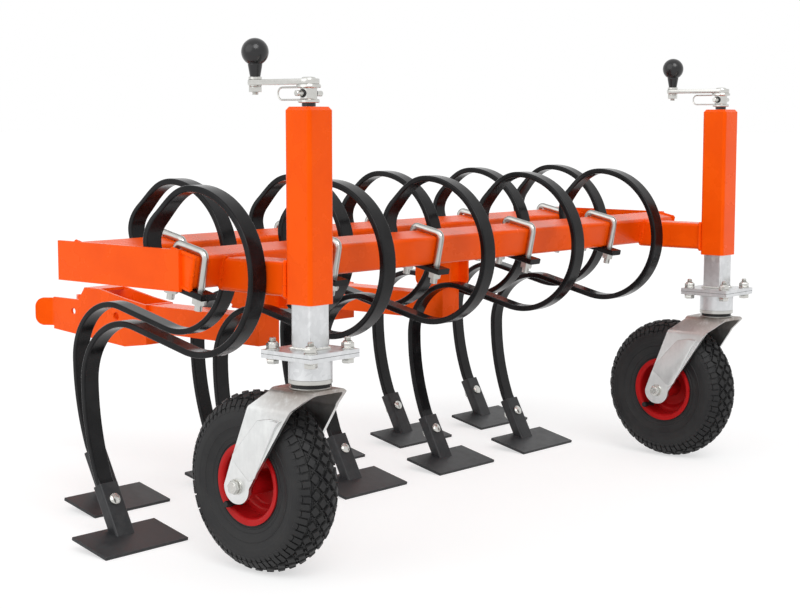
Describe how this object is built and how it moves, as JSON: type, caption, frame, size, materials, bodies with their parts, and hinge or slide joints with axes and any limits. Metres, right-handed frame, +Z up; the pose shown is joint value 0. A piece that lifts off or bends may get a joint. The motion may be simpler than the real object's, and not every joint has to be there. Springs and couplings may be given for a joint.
{
  "type": "gravel harrow",
  "caption": "Front-carried gravel harrow: spring tines with scraper shoes on two parallel beams, two cranked caster wheels, two pin-on hitch brackets.",
  "frame": {"origin": "on the ground, below the middle of the whole machine", "axes": "+X forward to the casters' posts, +Y to the machine's left, +Z up"},
  "size_m": [1.0733, 1.3755, 0.7873],
  "materials": {
    "orange_paint": "gloss powder coat",
    "black_spring_steel": "satin black paint",
    "black_shoe_steel": "satin black paint",
    "zinc": "bright zinc plate",
    "galvanised": "dull hot-dip galvanised",
    "red_paint": "gloss paint",
    "tyre": "matt",
    "black_plastic": "satin"
  },
  "bodies": {
    "frame": {"front_beam": "orange_paint", "rear_beam": "orange_paint", "front_tine_1": "black_spring_steel", "front_shoe_1": "black_shoe_steel", "front_tine_2": "black_spring_steel", "front_shoe_2": "black_shoe_steel", "front_tine_3": "black_spring_steel", "front_shoe_3": "black_shoe_steel", "front_tine_4": "black_spring_steel", "front_shoe_4": "black_shoe_steel", "front_tine_5": "black_spring_steel", "front_shoe_5": "black_shoe_steel", "front_clamps": "zinc", "rear_tine_1": "black_spring_steel", "rear_shoe_1": "black_shoe_steel", "rear_tine_2": "black_spring_steel", "rear_shoe_2": "black_shoe_steel", "rear_tine_3": "black_spring_steel", "rear_shoe_3": "black_shoe_steel", "rear_tine_4": "black_spring_steel", "rear_shoe_4": "black_shoe_steel", "rear_tine_5": "black_spring_steel", "rear_shoe_5": "black_shoe_steel", "rear_clamps": "zinc", "right_end_plate": "orange_paint", "right_caster_arm": "orange_paint", "right_post": "orange_paint", "right_hitch_arm": "orange_paint", "right_saddle_right": "orange_paint", "right_saddle_left": "orange_paint", "right_hitch_bracket": "orange_paint", "left_end_plate": "orange_paint", "left_caster_arm": "orange_paint", "left_post": "orange_paint", "left_hitch_arm": "orange_paint", "left_saddle_right": "orange_paint", "left_saddle_left": "orange_paint", "left_hitch_bracket": "orange_paint"},
    "right_leg": {"right_jack_tube": "galvanised", "right_upper_flange": "galvanised", "right_swivel_housing": "galvanised"},
    "right_crank_set": {"right_crank": "zinc", "right_knob": "black_plastic"},
    "right_fork_set": {"right_fork": "galvanised", "right_swivel_seal": "tyre", "right_axle": "zinc"},
    "right_wheel": {"right_rim": "red_paint", "right_tyre": "tyre"},
    "left_leg": {"left_jack_tube": "galvanised", "left_upper_flange": "galvanised", "left_swivel_housing": "galvanised"},
    "left_crank_set": {"left_crank": "zinc", "left_knob": "black_plastic"},
    "left_fork_set": {"left_fork": "galvanised", "left_swivel_seal": "tyre", "left_axle": "zinc"},
    "left_wheel": {"left_rim": "red_paint", "left_tyre": "tyre"}
  },
  "joints": [
    {"name": "right_height", "type": "slide", "parent": "frame", "child": "right_leg", "axis": [0, 0, 1], "range_m": [-0.12, 0.05]},
    {"name": "right_crank_turn", "type": "hinge", "parent": "frame", "child": "right_crank_set", "pos_m": [0.4739, -0.5628, 0.7], "axis": [0, 0, 1], "range_deg": [-3600, 8640]},
    {"name": "right_swivel", "type": "hinge", "parent": "right_leg", "child": "right_fork_set", "pos_m": [0.4739, -0.5628, 0.3], "axis": [0, 0, 1], "continuous": true},
    {"name": "right_wheel_spin", "type": "hinge", "parent": "right_fork_set", "child": "right_wheel", "pos_m": [0.3749, -0.5628, 0.136], "axis": [0, 1, 0], "continuous": true},
    {"name": "left_height", "type": "slide", "parent": "frame", "child": "left_leg", "axis": [0, 0, 1], "range_m": [-0.12, 0.05]},
    {"name": "left_crank_turn", "type": "hinge", "parent": "frame", "child": "left_crank_set", "pos_m": [0.4739, 0.5732, 0.7], "axis": [0, 0, 1], "range_deg": [-3600, 8640]},
    {"name": "left_swivel", "type": "hinge", "parent": "left_leg", "child": "left_fork_set", "pos_m": [0.4739, 0.5732, 0.3], "axis": [0, 0, 1], "continuous": true},
    {"name": "left_wheel_spin", "type": "hinge", "parent": "left_fork_set", "child": "left_wheel", "pos_m": [0.3749, 0.5732, 0.136], "axis": [0, 1, 0], "continuous": true}
  ],
  "couplings": [
    {"joint": "right_crank_turn", "follows": "right_height", "rad_per_m": -1256.6},
    {"joint": "left_crank_turn", "follows": "left_height", "rad_per_m": -1256.6}
  ]
}
